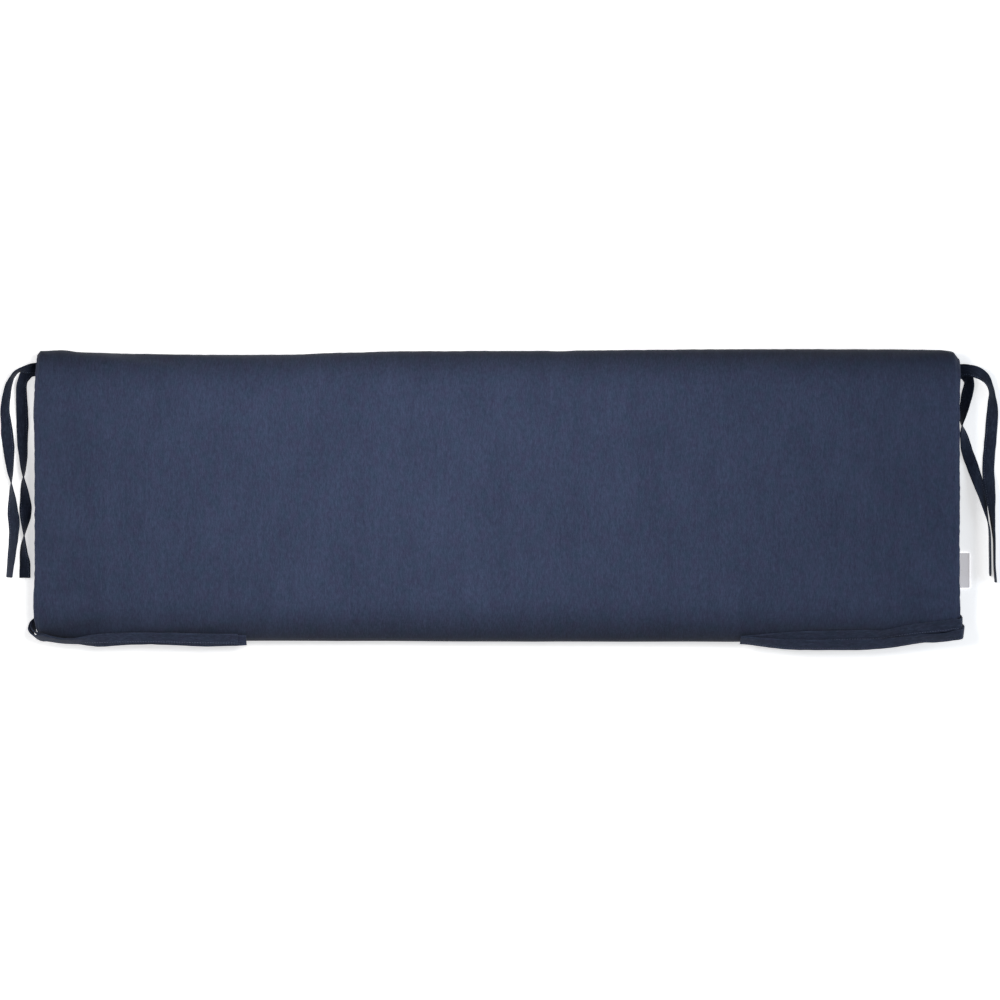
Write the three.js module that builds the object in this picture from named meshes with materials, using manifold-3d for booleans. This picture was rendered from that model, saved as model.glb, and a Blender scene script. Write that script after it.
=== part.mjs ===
// A bench cushion for outdoor use: a filled slab of woven cloth with rounded long edges, two sewn end panels,
// four pairs of cloth ties in the end seams and one small folded label.
// Millimetres. The cushion lies on its back on z = 0, +X to the right along its length, +Y to its back edge.
// The origin is the middle of the underside.
import * as THREE from "three";
import Module from "manifold-3d";

const wasm = await Module();
wasm.setup();

// Driving dimensions of the filled body.
const LENGTH = 1219; // over the bulge of both end panels
const DEPTH = 381; // over both rolled long edges
const CROWN = 65; // the top of the face above the surface it lies on
const END_BULGE = 5; // how far an end panel swells beyond its seam
const END_EASE = 48; // the length over which the face eases down to an end seam
const MID_HEIGHT = 31; // the widest line of the rolled edges
const END_HALF_HEIGHT = 26; // half the height of an end panel
const SHOULDER_POWER = 6; // how square the face's section is; a higher number is squarer
const BASE_POWER = 10;
const BASE_PRESS = 1.5; // how much the underside is pressed flat by the cushion's weight
const TRIM_GAP = 0.45; // between sewn pieces
const REST_GAP = 0.1; // under the lowest edge of a tie or the label

// Ties are strips of the cover cloth, folded in four and stitched.
const TIE_WIDTH = 16;
const TIE_THICKNESS = 1.8;

const SEAM_X = LENGTH / 2 - END_BULGE;
const HALF_DEPTH = DEPTH / 2;

// The back edge waves a little in plan: x along the edge, and how far it lies inside the full depth.
const BACK_EDGE = [
  { x: -604, inside: 3.0 },
  { x: -574, inside: 1.6 },
  { x: -545, inside: 4.6 },
  { x: -480, inside: 6.4 },
  { x: -380, inside: 7.6 },
  { x: -280, inside: 7.2 },
  { x: -200, inside: 4.8 },
  { x: -120, inside: 2.8 },
  { x: 60, inside: 2.2 },
  { x: 86, inside: 3.0 },
  { x: 104, inside: 2.0 },
  { x: 200, inside: 1.0 },
  { x: 330, inside: 0.2 },
  { x: 480, inside: 0.2 },
  { x: 604, inside: 1.2 },
];
// The front edge is nearly straight, but for the left end, where the ties' bend draws it in.
const FRONT_EDGE = [
  { x: -604, inside: 8.5 },
  { x: -550, inside: 1.0 },
  { x: -300, inside: 1.2 },
  { x: 0, inside: 0.2 },
  { x: 400, inside: 0.0 },
  { x: 604, inside: 1.0 },
];
// How round each corner is in plan: along is its reach in x, across its reach in y.
const CORNERS = {
  backLeft: { along: 5, across: 4 },
  backRight: { along: 24, across: 18 },
  frontLeft: { along: 8, across: 5 },
  frontRight: { along: 12, across: 9 },
};

const clamp01 = (t) => Math.min(1, Math.max(0, t));
const mix = (a, b, t) => a + (b - a) * t;
const radians = THREE.MathUtils.degToRad;

// A smooth value between table rows, with no overshoot.
function along(rows, x, column) {
  let i = 0;
  while (i < rows.length - 2 && x > rows[i + 1].x) i++;
  const t = clamp01((x - rows[i].x) / (rows[i + 1].x - rows[i].x));
  return mix(rows[i][column], rows[i + 1][column], t * t * (3 - 2 * t));
}

// How far a corner's rounding takes the long edge in, at a distance from the end seam.
function cornerInset(corner, fromSeam) {
  const t = clamp01(1 - fromSeam / corner.along);
  return corner.across * (1 - Math.sqrt(1 - t * t * 0.98));
}

// The front edge, back edge and heights of the body's section at one place along its length.
function sectionSizes(x) {
  const fromSeam = Math.max(0, SEAM_X - Math.abs(x));
  const fullness = 1 - Math.pow(1 - clamp01(fromSeam / END_EASE), 2.4);
  const left = x < 0;
  return {
    front: -HALF_DEPTH + along(FRONT_EDGE, x, "inside")
      + cornerInset(left ? CORNERS.frontLeft : CORNERS.frontRight, fromSeam),
    back: HALF_DEPTH - along(BACK_EDGE, x, "inside")
      - cornerInset(left ? CORNERS.backLeft : CORNERS.backRight, fromSeam),
    up: mix(END_HALF_HEIGHT, CROWN - MID_HEIGHT, fullness),
    down: mix(END_HALF_HEIGHT, MID_HEIGHT + BASE_PRESS, fullness),
  };
}

// Places round the section, as degrees from its middle: the face from front to back, then the underside back again.
const FACE_ANGLES = [-90, -84, -78, -71, -64, -56, -47, -37, -25, -12, 0, 12, 25, 37, 47, 56, 64, 71, 78, 84];
const BASE_ANGLES = [90, 81, 72, 62, 50, -50, -62, -72, -81];

const superellipse = (u, power) => Math.sqrt(Math.max(0, 1 - Math.pow(Math.abs(u), power)));

// One closed ring of the body. shrink below 1 draws the ring in from the seam, for an end panel.
function ringAt(x, shrink, grow) {
  const size = sectionSizes(Math.sign(x) * Math.min(Math.abs(x), SEAM_X));
  const drawnIn = END_HALF_HEIGHT * (1 - shrink) * 0.9;
  const middle = (size.front + size.back) / 2;
  const half = (size.back - size.front) / 2 - drawnIn + grow;
  const point = (degrees, reach, power) => {
    const u = Math.sin(radians(degrees));
    const height = MID_HEIGHT + reach * superellipse(u, power);
    return new THREE.Vector3(x, middle + half * u, Math.max(-grow, height));
  };
  return [
    ...FACE_ANGLES.map((a) => point(a, size.up * shrink + grow, SHOULDER_POWER)),
    ...BASE_ANGLES.map((a) => point(a, -size.down * shrink - grow, BASE_POWER)),
  ];
}

// Distances from an end seam at which the body has a ring, and then one about every PITCH.
const NEAR_SEAM = [0, 3, 7, 12, 19, 28, 40, 56, 78];
const PITCH = 44;
// The end panel's rings, as a share of its height.
const PANEL_RINGS = [0.93, 0.8, 0.6, 0.35, 0.12];

function bodyRings(grow) {
  const first = NEAR_SEAM[NEAR_SEAM.length - 1];
  const span = 2 * (SEAM_X - first);
  const steps = Math.round(span / PITCH);
  const half = NEAR_SEAM.map((d) => -SEAM_X + d);
  const middle = [];
  for (let i = 1; i < steps; i++) middle.push(-SEAM_X + first + (span * i) / steps);
  const wall = [...half, ...middle, ...half.map((x) => -x).reverse()];
  const panel = PANEL_RINGS.map((share) => ({
    x: SEAM_X + END_BULGE * Math.sqrt(1 - share * share) + grow,
    share,
  }));
  return [
    ...panel.map((r) => ringAt(-r.x, r.share, grow)).reverse(),
    ...wall.map((x) => ringAt(x, 1, grow)),
    ...panel.map((r) => ringAt(r.x, r.share, grow)),
  ];
}

// A closed surface over rings that all have the same number of points, each end closed by a fan.
function loft(rings) {
  const count = rings[0].length;
  const positions = rings.flat().flatMap((p) => [p.x, p.y, p.z]);
  const faces = [];
  for (let r = 0; r < rings.length - 1; r++) {
    for (let i = 0; i < count; i++) {
      const a = r * count + i;
      const b = r * count + ((i + 1) % count);
      faces.push(a, b, a + count, b, b + count, a + count);
    }
  }
  const cap = (ring, start, outward) => {
    const middle = ring.reduce((sum, p) => sum.add(p), new THREE.Vector3()).divideScalar(count);
    const hub = positions.length / 3;
    positions.push(middle.x, middle.y, middle.z);
    for (let i = 0; i < count; i++) {
      const a = start + i;
      const b = start + ((i + 1) % count);
      faces.push(...(outward ? [hub, a, b] : [hub, b, a]));
    }
  };
  cap(rings[0], 0, false);
  cap(rings[rings.length - 1], (rings.length - 1) * count, true);
  const geometry = new THREE.BufferGeometry();
  geometry.setAttribute("position", new THREE.Float32BufferAttribute(positions, 3));
  geometry.setIndex(faces);
  return facingOut(geometry);
}

// The signed volume inside a closed surface.
function volumeOf(geometry) {
  const p = geometry.getAttribute("position");
  const index = geometry.getIndex();
  const [a, b, c] = [new THREE.Vector3(), new THREE.Vector3(), new THREE.Vector3()];
  let volume = 0;
  for (let i = 0; i < index.count; i += 3) {
    a.fromBufferAttribute(p, index.getX(i));
    b.fromBufferAttribute(p, index.getX(i + 1));
    c.fromBufferAttribute(p, index.getX(i + 2));
    volume += a.dot(b.cross(c)) / 6;
  }
  return volume;
}

function facingOut(geometry) {
  if (volumeOf(geometry) < 0) {
    const index = geometry.getIndex();
    for (let i = 0; i < index.count; i += 3) {
      const first = index.getX(i);
      index.setX(i, index.getX(i + 1));
      index.setX(i + 1, first);
    }
  }
  return geometry;
}

const toSolid = (geometry) => new wasm.Manifold(new wasm.Mesh({
  numProp: 3,
  vertProperties: new Float32Array(geometry.getAttribute("position").array),
  triVerts: new Uint32Array(geometry.getIndex().array),
}));

function fromSolid(solid) {
  const mesh = solid.getMesh();
  const geometry = new THREE.BufferGeometry();
  geometry.setAttribute("position", new THREE.Float32BufferAttribute(mesh.vertProperties, 3));
  geometry.setIndex([...mesh.triVerts]);
  return geometry;
}

// The body grown by the gap, which trims the root of each sewn piece.
const trimmer = toSolid(loft(bodyRings(TRIM_GAP)));

// The height at which a strip of a given slope lies tangent on the front roll, above a place inside the front edge.
function rollHeight(x, y, slope) {
  const { front, back, up } = sectionSizes(x);
  const half = (back - front) / 2;
  const steepness = (u) => (up / half) * (SHOULDER_POWER / 2) * Math.pow(u, SHOULDER_POWER - 1)
    / superellipse(u, SHOULDER_POWER);
  let low = 0;
  let high = 1 - 1e-9;
  for (let i = 0; i < 40; i++) {
    const u = (low + high) / 2;
    if (steepness(u) < Math.tan(slope)) low = u;
    else high = u;
  }
  const touch = { y: (front + back) / 2 - half * low, z: MID_HEIGHT + up * superellipse(low, SHOULDER_POWER) };
  return touch.z - (touch.y - y) * Math.tan(slope);
}

// A strip's row on the front roll: inside is its middle's distance inside the front edge, lift its height off the roll.
function onRoll({ x, inside, slope, lift, cup = 0 }) {
  const y = sectionSizes(x).front + inside;
  const z = rollHeight(x, y, radians(slope)) + lift / Math.cos(radians(slope));
  return { x, y, z, across: 90, slope, cup };
}

// A strip's row on the surface the cushion lies on: its lower edge touches the surface, plus any lift.
function onFloor({ x, y, across, slope, lift = 0 }) {
  const s = radians(slope);
  const rest = (TIE_WIDTH / 2) * Math.abs(Math.sin(s)) + (TIE_THICKNESS / 2) * Math.abs(Math.cos(s));
  return { x, y, z: rest + lift, across, slope, cup: 0 };
}

// Smooth values through all the rows, STEPS to each interval.
const STEPS = 2;
const COLUMNS = ["x", "y", "z", "across", "slope", "cup"];
function smoothRows(rows) {
  const at = (i) => rows[Math.min(rows.length - 1, Math.max(0, i))];
  const out = [];
  for (let i = 0; i < rows.length - 1; i++) {
    for (let s = 0; s < STEPS; s++) {
      const t = s / STEPS;
      const row = {};
      for (const c of COLUMNS) {
        const [p0, p1, p2, p3] = [at(i - 1)[c], at(i)[c], at(i + 1)[c], at(i + 2)[c]];
        const [m1, m2] = [(p2 - p0) / 2, (p3 - p1) / 2];
        row[c] = (2 * t ** 3 - 3 * t ** 2 + 1) * p1 + (t ** 3 - 2 * t ** 2 + t) * m1
          + (3 * t ** 2 - 2 * t ** 3) * p2 + (t ** 3 - t ** 2) * m2;
      }
      out.push(row);
    }
  }
  out.push(at(rows.length - 1));
  return out;
}

// A flat strip along its rows. across is the plan direction of the strip's width and slope its rise, in degrees.
// cup bends the strip's two edges down, in degrees.
const ACROSS = [-0.5, 0, 0.5];
function strip(rows, width, thickness) {
  const path = smoothRows(rows);
  const centres = path.map((r) => new THREE.Vector3(r.x, r.y, r.z));
  const rings = path.map((row, i) => {
    const ahead = centres[Math.min(i + 1, path.length - 1)].clone()
      .sub(centres[Math.max(i - 1, 0)]).normalize();
    const [a, s] = [radians(row.across), radians(row.slope)];
    const wide = new THREE.Vector3(Math.cos(s) * Math.cos(a), Math.cos(s) * Math.sin(a), Math.sin(s));
    wide.addScaledVector(ahead, -wide.dot(ahead)).normalize();
    const normal = new THREE.Vector3().crossVectors(wide, ahead);
    const sag = -Math.sign(normal.z) * width * radians(row.cup) / 2;
    const place = (share, side) => centres[i].clone()
      .addScaledVector(wide, width * share)
      .addScaledVector(normal, (side * thickness) / 2 + sag * share * share);
    const ring = [
      ...ACROSS.map((share) => place(share, 1)),
      ...[...ACROSS].reverse().map((share) => place(share, -1)),
    ];
    const lowest = Math.min(...ring.map((p) => p.z));
    for (const p of ring) p.z += Math.max(0, REST_GAP - lowest);
    return ring;
  });
  return loft(rings);
}

const cloth = (colour) => new THREE.MeshStandardMaterial({ color: colour, roughness: 0.92, metalness: 0 });
const navyCloth = cloth(0x3c445b);
const whiteCloth = cloth(0xe9e6e8);

const group = new THREE.Group();
function add(name, geometry, material) {
  const mesh = new THREE.Mesh(geometry, material);
  mesh.name = name;
  group.add(mesh);
}

add("cushion", loft(bodyRings(0)), navyCloth);

// The rows of each tie, from its sewn root to its free end. A root starts inside the seam and is trimmed to it.
const TIES = {
  tie_back_left_outer: [
    { x: -599, y: 168.5, across: 90, slope: 8, lift: 7.4 },
    { x: -606, y: 168.6, across: 90, slope: 8, lift: 7.6 },
    { x: -613, y: 168.5, across: 91, slope: 18, lift: 8.6 },
    { x: -620.2, y: 168, across: 94, slope: 48, lift: 10 },
    { x: -628.1, y: 166.3, across: 103, slope: 70, lift: 10.6 },
    { x: -633.6, y: 164.1, across: 118, slope: 82, lift: 8.6 },
    { x: -637.6, y: 161, across: 134, slope: 84, lift: 5 },
    { x: -641.2, y: 157, across: 147, slope: 79, lift: 2 },
    { x: -643.6, y: 152.6, across: 156, slope: 73, lift: 0.6 },
    { x: -645.5, y: 148, across: 163, slope: 67 },
    { x: -647.2, y: 141.4, across: 170, slope: 62 },
    { x: -648.6, y: 133.4, across: 176, slope: 57 },
    { x: -650.1, y: 123.3, across: 180, slope: 54 },
    { x: -650.8, y: 111.4, across: 180, slope: 49 },
    { x: -649.4, y: 96, across: 180, slope: 36 },
    { x: -648.5, y: 85, across: 180, slope: 18 },
    { x: -647.3, y: 72, across: 180, slope: 8 },
    { x: -646, y: 60, across: 180, slope: 30 },
    { x: -645.2, y: 51, across: 180, slope: 47 },
    { x: -644.6, y: 42.7, across: 180, slope: 56 },
    { x: -643.8, y: 32, across: 180, slope: 71 },
    { x: -642.6, y: 21.5, across: 180, slope: 90 },
    { x: -642, y: 11, across: 180, slope: 110 },
    { x: -641.3, y: 0.4, across: 180, slope: 126 },
    { x: -640.8, y: -10.2, across: 180, slope: 142 },
    { x: -640.3, y: -20.8, across: 180, slope: 156 },
    { x: -639.6, y: -31.3, across: 180, slope: 166 },
    { x: -638.9, y: -42, across: 180, slope: 156 },
    { x: -639.3, y: -52.5, across: 180, slope: 144 },
    { x: -640.4, y: -65, across: 180, slope: 136 },
    { x: -642, y: -79, across: 180, slope: 130 },
    { x: -643.7, y: -94.8, across: 180, slope: 125 },
    { x: -645, y: -107.4, across: 180, slope: 122 },
  ].map(onFloor),
  tie_back_left_inner: [
    { x: -599, y: 166.5, across: 90, slope: 4, lift: 2.6 },
    { x: -606, y: 166.8, across: 92, slope: 4, lift: 2 },
    { x: -612.5, y: 166.6, across: 98, slope: 8, lift: 1 },
    { x: -618.4, y: 165, across: 112, slope: 18, lift: 0.4 },
    { x: -623.2, y: 161.4, across: 136, slope: 20 },
    { x: -626.2, y: 156.2, across: 156, slope: 38 },
    { x: -628.2, y: 149.6, across: 170, slope: 42 },
    { x: -629.2, y: 141, across: 178, slope: 35 },
    { x: -629.1, y: 130, across: 180, slope: 29 },
    { x: -628.7, y: 115.6, across: 180, slope: 20 },
    { x: -628.2, y: 96, across: 180, slope: 9 },
    { x: -628.1, y: 79, across: 180, slope: 32 },
    { x: -627.5, y: 63, across: 180, slope: 44 },
    { x: -626.6, y: 52, across: 180, slope: 56 },
    { x: -626.5, y: 41.5, across: 180, slope: 67 },
    { x: -626.2, y: 29, across: 180, slope: 88 },
    { x: -626, y: 20.4, across: 180, slope: 111 },
    { x: -625.3, y: 9.8, across: 180, slope: 131 },
    { x: -624.4, y: -0.8, across: 180, slope: 148 },
    { x: -624.1, y: -11.3, across: 180, slope: 170 },
    { x: -624, y: -21.9, across: 180, slope: 197 },
    { x: -624.3, y: -32.5, across: 180, slope: 228 },
    { x: -624.8, y: -43.1, across: 180, slope: 248 },
    { x: -625.4, y: -54, across: 180, slope: 271 },
    { x: -626, y: -64.2, across: 180, slope: 293 },
    { x: -625.8, y: -74.8, across: 180, slope: 315 },
    { x: -625, y: -85.4, across: 180, slope: 332 },
    { x: -624.8, y: -96, across: 180, slope: 339 },
    { x: -624.8, y: -108, across: 180, slope: 342 },
  ].map(onFloor),
  tie_back_right_outer: [
    { x: 599, y: 167, across: 90, slope: 8, lift: 7.4 },
    { x: 606, y: 167, across: 90, slope: 8, lift: 7.6 },
    { x: 613, y: 166.8, across: 90, slope: 8, lift: 9 },
    { x: 621, y: 166.4, across: 87, slope: 8, lift: 11 },
    { x: 631, y: 164.4, across: 76, slope: 14, lift: 12 },
    { x: 640.8, y: 159.4, across: 57, slope: 38, lift: 7.2 },
    { x: 647, y: 153.4, across: 40, slope: 58, lift: 3 },
    { x: 650.7, y: 147.7, across: 29, slope: 69, lift: 0.8 },
    { x: 653, y: 142, across: 18, slope: 72 },
    { x: 654, y: 136.2, across: 9, slope: 70 },
    { x: 654.3, y: 131, across: 3, slope: 63 },
    { x: 654.8, y: 124, across: 0, slope: 50 },
    { x: 655.3, y: 115.4, across: 0, slope: 34 },
    { x: 654.8, y: 105, across: 0, slope: 20 },
    { x: 654.2, y: 94, across: 0, slope: 6 },
    { x: 653, y: 78, across: 0, slope: 6 },
    { x: 651.2, y: 60, across: 0, slope: 8 },
    { x: 650, y: 42, across: 0, slope: 6 },
    { x: 649.7, y: 29, across: 0, slope: 8, lift: 2.2 },
    { x: 650.6, y: 18, across: 0, slope: 22, lift: 2.8 },
    { x: 651.5, y: 8, across: 0, slope: 37, lift: 2.4 },
    { x: 652.3, y: -2, across: 0, slope: 48, lift: 2.4 },
    { x: 653.1, y: -12, across: 0, slope: 58, lift: 2.2 },
    { x: 654, y: -22, across: 0, slope: 68, lift: 1.2 },
    { x: 655, y: -33, across: 0, slope: 76 },
    { x: 656, y: -45, across: 0, slope: 83 },
    { x: 657, y: -58, across: 0, slope: 88 },
    { x: 657.2, y: -74, across: 0, slope: 90 },
    { x: 657.4, y: -92, across: 0, slope: 91 },
    { x: 658.2, y: -103, across: 0, slope: 90 },
    { x: 659, y: -114, across: 0, slope: 90 },
  ].map(onFloor),
  tie_back_right_inner: [
    { x: 599, y: 165.4, across: 90, slope: 4, lift: 2.6 },
    { x: 606, y: 165.2, across: 88, slope: 4, lift: 2 },
    { x: 612.5, y: 164.2, across: 78, slope: 10, lift: 1.2 },
    { x: 618.6, y: 161, across: 56, slope: 22, lift: 0.4 },
    { x: 622.8, y: 155.4, across: 28, slope: 36 },
    { x: 624.2, y: 149.6, across: 12, slope: 42 },
    { x: 623.6, y: 143, across: 0, slope: 34 },
    { x: 621.8, y: 135.4, across: 0, slope: 27 },
    { x: 619.8, y: 127.4, across: 0, slope: 33 },
    { x: 617.4, y: 116, across: 0, slope: 46 },
    { x: 615.3, y: 105, across: 0, slope: 64 },
    { x: 614.4, y: 96, across: 0, slope: 88 },
    { x: 615.6, y: 86, across: 0, slope: 120 },
    { x: 618, y: 74.4, across: 0, slope: 143 },
    { x: 620.8, y: 63, across: 0, slope: 163 },
    { x: 624.4, y: 52, across: 0, slope: 173 },
    { x: 628.2, y: 41.6, across: 0, slope: 175 },
    { x: 631.8, y: 31, across: 0, slope: 169 },
    { x: 635.4, y: 20.4, across: 0, slope: 160 },
    { x: 638.4, y: 9.9, across: 0, slope: 147 },
    { x: 641.4, y: -0.7, across: 0, slope: 133 },
    { x: 643.9, y: -11.3, across: 0, slope: 122 },
    { x: 646.2, y: -21.8, across: 0, slope: 110 },
    { x: 648.8, y: -34, across: 0, slope: 98 },
    { x: 650.8, y: -47.2, across: 0, slope: 92 },
    { x: 651.4, y: -71, across: 0, slope: 90 },
    { x: 651.8, y: -105.4, across: 0, slope: 90 },
  ].map(onFloor),
  tie_front_left_upper: [
    { x: -599, y: -167, z: 4.4, across: 90, slope: -14, cup: 0 },
    { x: -606, y: -167.2, z: 4.8, across: 91, slope: -6, cup: 0 },
    { x: -611.4, y: -168.4, z: 8.4, across: 104, slope: 32, cup: 0 },
    { x: -614.4, y: -172, z: 14.5, across: 128, slope: 62, cup: 0 },
    { x: -614.4, y: -178, z: 20.5, across: 146, slope: 69, cup: 0 },
    { x: -610.8, y: -183.2, z: 26, across: 128, slope: 67, cup: 0 },
    { x: -603.6, y: -186.4, z: 30, across: 108, slope: 64, cup: 0 },
    ...[
      { x: -594, inside: -3.8, slope: 62, lift: 4.8 },
      { x: -574, inside: -3.4, slope: 65, lift: 4.6 },
      { x: -554, inside: -0.8, slope: 62, lift: 4.4 },
      { x: -537, inside: 1.2, slope: 49, lift: 4.4, cup: 6 },
      { x: -521, inside: 2.2, slope: 37, lift: 4.4, cup: 10 },
      { x: -501, inside: 3.2, slope: 31, lift: 4.4, cup: 12 },
      { x: -469, inside: 3.8, slope: 30, lift: 4.4, cup: 12 },
      { x: -429, inside: 3.4, slope: 30, lift: 4.4, cup: 12 },
      { x: -390, inside: 2.4, slope: 30, lift: 4.4, cup: 12 },
      { x: -340, inside: 1.8, slope: 31, lift: 4.4, cup: 12 },
    ].map(onRoll),
  ],
  tie_front_left_under: [
    { x: -599, y: -165, z: 7.6, across: 90, slope: -14, cup: 0 },
    { x: -605, y: -165.2, z: 8.2, across: 90, slope: -4, cup: 0 },
    { x: -609.2, y: -166.4, z: 11.6, across: 102, slope: 34, cup: 0 },
    { x: -611.2, y: -170, z: 17, across: 126, slope: 62, cup: 0 },
    { x: -611, y: -175.4, z: 22, across: 142, slope: 69, cup: 0 },
    { x: -607.6, y: -180, z: 26.6, across: 126, slope: 67, cup: 0 },
    { x: -601, y: -182.9, z: 30, across: 108, slope: 64, cup: 0 },
    ...[
      { x: -591, inside: -2.8, slope: 62, lift: 1.6 },
      { x: -572, inside: -3, slope: 65, lift: 1.5 },
      { x: -552, inside: -1, slope: 62, lift: 1.5 },
      { x: -535, inside: -2, slope: 50, lift: 1.6, cup: 6 },
      { x: -519, inside: -2.1, slope: 38, lift: 1.8, cup: 10 },
      { x: -499, inside: 0.2, slope: 32, lift: 1.9, cup: 12 },
      { x: -460, inside: 1.8, slope: 31, lift: 1.9, cup: 12 },
      { x: -420, inside: 0.4, slope: 31, lift: 1.9, cup: 12 },
      { x: -380, inside: -1.2, slope: 31, lift: 1.9, cup: 12 },
      { x: -329, inside: 0.2, slope: 32, lift: 1.9, cup: 12 },
    ].map(onRoll),
  ],
  tie_front_right_inner: [
    { x: 599, y: -162, z: 8.6, across: 90, slope: -2, cup: 0 },
    { x: 605, y: -162.4, z: 9, across: 90, slope: -2, cup: 0 },
    { x: 608.9, y: -163, z: 13.4, across: 90, slope: 0, cup: 0 },
    { x: 610.2, y: -164, z: 22, across: 90, slope: 4, cup: 0 },
    { x: 610.4, y: -165.2, z: 34, across: 90, slope: 8, cup: 0 },
    { x: 609.4, y: -166.6, z: 46.5, across: 90, slope: 12, cup: 0 },
    { x: 605.4, y: -168, z: 53.4, across: 90, slope: 17, cup: 0 },
    ...[
      { x: 598, inside: 20.6, slope: 20, lift: 1.9 },
      { x: 588, inside: 19.6, slope: 20, lift: 1.6 },
      { x: 562, inside: 17, slope: 21, lift: 1.4 },
      { x: 542, inside: 14.8, slope: 25, lift: 1.4 },
      { x: 522, inside: 11.4, slope: 40, lift: 1.6 },
      { x: 507, inside: 9, slope: 42, lift: 1.6 },
      { x: 494, inside: 8.2, slope: 34, lift: 1.4 },
      { x: 476, inside: 8.2, slope: 30, lift: 1.4 },
      { x: 437, inside: 7.4, slope: 30, lift: 1.4 },
      { x: 397, inside: 6.6, slope: 31, lift: 1.4 },
      { x: 371, inside: 5.2, slope: 36, lift: 1.4 },
      { x: 345, inside: 3.4, slope: 44, lift: 1.4 },
      { x: 320, inside: 2, slope: 52, lift: 1.4 },
    ].map(onRoll),
  ],
  tie_front_right_outer: [
    { x: 599, y: -176, z: 4.8, across: 90, slope: -2, cup: 0 },
    { x: 606.4, y: -176, z: 5.2, across: 90, slope: -2, cup: 0 },
    { x: 611.4, y: -176, z: 10, across: 90, slope: 0, cup: 0 },
    { x: 613, y: -176.2, z: 20.5, across: 90, slope: 3, cup: 0 },
    { x: 612.9, y: -176.8, z: 32, across: 87, slope: 9, cup: 0 },
    { x: 611.8, y: -178.4, z: 43, across: 86, slope: 20, cup: 0 },
    { x: 607.6, y: -181, z: 51, across: 90, slope: 30, cup: 0 },
    ...[
      { x: 598, inside: 5.8, slope: 38, lift: 4.6 },
      { x: 583, inside: 4.2, slope: 44, lift: 4.8 },
      { x: 556, inside: 3, slope: 45, lift: 4.8 },
      { x: 529, inside: -0.8, slope: 39, lift: 5.5 },
      { x: 502, inside: -3.8, slope: 35, lift: 4.4, cup: 6 },
      { x: 476, inside: -4.9, slope: 31, lift: 4.4, cup: 12 },
      { x: 437, inside: -4.8, slope: 30, lift: 4.4, cup: 12 },
      { x: 397, inside: -4.5, slope: 31, lift: 4.4, cup: 12 },
      { x: 371, inside: -3.3, slope: 35, lift: 4.4, cup: 10 },
      { x: 350, inside: -1.3, slope: 43, lift: 4.4, cup: 6 },
      { x: 332, inside: 0.8, slope: 50, lift: 4.4 },
      { x: 319, inside: 1.4, slope: 53, lift: 4.4 },
    ].map(onRoll),
  ],
};

for (const [name, rows] of Object.entries(TIES)) {
  const whole = toSolid(strip(rows, TIE_WIDTH, TIE_THICKNESS));
  add(name, fromSolid(whole.subtract(trimmer)), navyCloth);
}

// The label is a folded ribbon in the right end's lower seam, lying out to the surface.
const LABEL_LENGTH = 46;
const LABEL_THICKNESS = 1.2;
const LABEL_Y = -98;
const LABEL_ROWS = [
  { x: 600, z: 3.6 },
  { x: 606, z: 3.2 },
  { x: 612, z: 2.4 },
  { x: 618, z: 1.4 },
  { x: 625.5, z: 0.7 },
].map(({ x, z }) => ({ x, y: LABEL_Y, z, across: 90, slope: 0, cup: 0 }));
const labelSolid = toSolid(strip(LABEL_ROWS, LABEL_LENGTH, LABEL_THICKNESS)).subtract(trimmer);
add("label", fromSolid(labelSolid), whiteCloth);

export default group;
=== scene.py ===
"""A navy bench cushion for outdoor use, lying on its back, with cloth ties at its corners.

Metres, in the CAD frame: +X along the cushion to the end with the label, +Y to its back edge, +Z up.
"""
import math

import bmesh
import bpy
import numpy as np
from mathutils import Matrix, Vector, noise
from mathutils.bvhtree import BVHTree


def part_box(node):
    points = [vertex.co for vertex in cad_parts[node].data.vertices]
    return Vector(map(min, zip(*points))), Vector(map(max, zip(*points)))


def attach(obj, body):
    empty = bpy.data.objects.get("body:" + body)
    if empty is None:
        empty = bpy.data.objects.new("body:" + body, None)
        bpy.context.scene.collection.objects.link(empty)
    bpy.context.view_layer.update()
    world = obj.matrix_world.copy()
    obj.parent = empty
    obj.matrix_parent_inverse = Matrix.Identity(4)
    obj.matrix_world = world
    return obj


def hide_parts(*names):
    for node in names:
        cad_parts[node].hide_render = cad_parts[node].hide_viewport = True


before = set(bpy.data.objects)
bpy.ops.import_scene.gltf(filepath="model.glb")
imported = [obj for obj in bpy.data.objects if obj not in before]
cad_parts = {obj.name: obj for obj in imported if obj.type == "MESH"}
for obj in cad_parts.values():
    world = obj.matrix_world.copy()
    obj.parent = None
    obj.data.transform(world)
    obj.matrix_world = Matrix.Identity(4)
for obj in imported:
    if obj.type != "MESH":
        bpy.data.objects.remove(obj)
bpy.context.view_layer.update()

MM = 0.001

# The body, as in the part: over both end panels, over both rolled edges, and up to the face.
LENGTH = 1219 * MM
DEPTH = 381 * MM
CROWN = 65 * MM
END_BULGE = 5 * MM
END_EASE = 48 * MM
END_EASE_POWER = 2.4
MID_HEIGHT = 31 * MM
END_HALF_HEIGHT = 26 * MM
SHOULDER_POWER = 6
BASE_POWER = 10
BASE_PRESS = 1.5 * MM
SEAM_X = LENGTH / 2 - END_BULGE
HALF_DEPTH = DEPTH / 2

# How far each long edge lies inside the full depth: x and inset, in millimetres.
BACK_EDGE = [
    (-604, 3.0), (-574, 1.6), (-545, 4.6), (-480, 6.4), (-380, 7.6), (-280, 7.2), (-200, 4.8), (-120, 2.8),
    (60, 2.2), (86, 3.0), (104, 2.0), (200, 1.0), (330, 0.2), (480, 0.2), (604, 1.2),
]
FRONT_EDGE = [(-604, 8.5), (-550, 1.0), (-300, 1.2), (0, 0.2), (400, 0.0), (604, 1.0)]
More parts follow.
